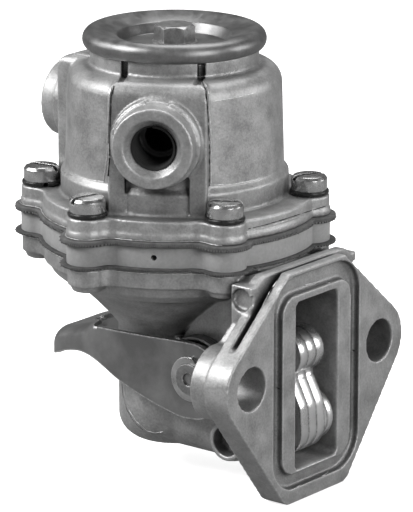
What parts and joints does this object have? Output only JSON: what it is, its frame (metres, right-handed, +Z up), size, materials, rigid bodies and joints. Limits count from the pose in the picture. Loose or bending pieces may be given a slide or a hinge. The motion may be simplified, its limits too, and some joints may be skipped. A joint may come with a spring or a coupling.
{
  "type": "mechanical fuel pump",
  "caption": "Flange-mounted mechanical diaphragm fuel pump with laminated cam rocker, hand primer lever, two threaded ports and a bolted top cap.",
  "frame": {"origin": "middle of the mounting flange's face, halfway between its two bolt holes", "axes": "+X out of the mounting face towards the engine, +Z up along the pump axis, Y along the bolt holes"},
  "size_m": [0.0774, 0.0776, 0.1084],
  "materials": {
    "cast_body": "fine grained die casting",
    "cast_cover": "fine grained die casting",
    "spacer": "pale moulded nylon",
    "fabric_upper": "rubber coated fabric, cut edge",
    "fabric_lower": "rubber coated fabric, cut edge",
    "screws": "bright zinc plated",
    "black_washers": "blackened spring steel",
    "cap_steel": "pressed, dull plated",
    "cap_bolt_steel": "plated",
    "washer_steel": "plated",
    "rubber_seal": "moulded",
    "gauze": "woven wire",
    "valve_brass": "pressed",
    "valve_disc": "moulded",
    "spring_steel": "drawn wire",
    "rod_steel": "turned",
    "plate_steel": "pressed",
    "rocker_steel": "bright stamped plates",
    "rivet_steel": "headed",
    "bush_brass": "turned",
    "pin_steel": "ground",
    "lever_steel": "pressed, satin plated",
    "shaft_steel": "turned, peened ends",
    "end_plate_steel": "stamped"
  },
  "bodies": {
    "housing": {"lower_housing": "cast_body", "upper_housing": "cast_cover", "spacer_ring": "spacer", "upper_diaphragm": "fabric_upper", "lower_diaphragm": "fabric_lower", "cover_screws": "screws", "spring_washers": "black_washers", "top_cap": "cap_steel", "cap_bolt": "cap_bolt_steel", "cap_washer": "washer_steel", "cap_seal": "rubber_seal", "filter_gauze": "gauze", "inlet_valve_seat": "valve_brass", "inlet_valve_spring": "spring_steel", "inlet_valve_cage": "valve_brass", "outlet_valve_seat": "valve_brass", "outlet_valve_spring": "spring_steel", "outlet_valve_cage": "valve_brass", "main_spring": "spring_steel", "rod_seal": "rubber_seal", "seal_retainer": "plate_steel", "rocker_pin": "pin_steel", "rocker_spring": "spring_steel"},
    "rocker": {"rocker_plate_1": "rocker_steel", "rocker_plate_2": "rocker_steel", "rocker_plate_3": "rocker_steel", "rocker_plate_4": "rocker_steel", "rocker_rivets": "rivet_steel", "rocker_bush": "bush_brass"},
    "rod": {"pull_rod": "rod_steel", "rod_nut": "rod_steel", "upper_plate": "plate_steel", "plate_spacer": "plate_steel", "lower_plate": "plate_steel"},
    "primer": {"primer_lever": "lever_steel", "primer_shaft": "shaft_steel", "primer_end_plates": "end_plate_steel", "primer_spring": "spring_steel"},
    "inlet_valve": {"inlet_valve_disc": "valve_disc"},
    "outlet_valve": {"outlet_valve_disc": "valve_disc"}
  },
  "joints": [
    {"name": "rocker_pivot", "type": "hinge", "parent": "housing", "child": "rocker", "pos_m": [-0.0172, 0, -0.0193], "axis": [0, -1, 0], "range_deg": [0, 9], "deforming": ["rocker_spring"]},
    {"name": "rod_slide", "type": "slide", "parent": "housing", "child": "rod", "axis": [0, 0, -1], "range_m": [0, 0.00406], "stiffness_N_per_m": 500, "springref_m": -0.004, "deforming": ["main_spring", "upper_diaphragm", "lower_diaphragm"]},
    {"name": "primer_hinge", "type": "hinge", "parent": "housing", "child": "primer", "pos_m": [-0.0246, 0, -0.0042], "axis": [0, -1, 0], "range_deg": [0, 25], "stiffness_Nm_per_rad": 0.25, "springref_deg": -17.19},
    {"name": "inlet_valve_lift", "type": "slide", "parent": "housing", "child": "inlet_valve", "axis": [0, 0, -1], "range_m": [0, 0.0012], "stiffness_N_per_m": 60, "springref_m": -0.001, "deforming": ["inlet_valve_spring"]},
    {"name": "outlet_valve_lift", "type": "slide", "parent": "housing", "child": "outlet_valve", "axis": [0, 0, 1], "range_m": [0, 0.0012], "stiffness_N_per_m": 60, "springref_m": -0.001, "deforming": ["outlet_valve_spring"]}
  ],
  "couplings": [
    {"joint": "rocker_pivot", "follows": "rod_slide", "rad_per_m": 38.61}
  ]
}
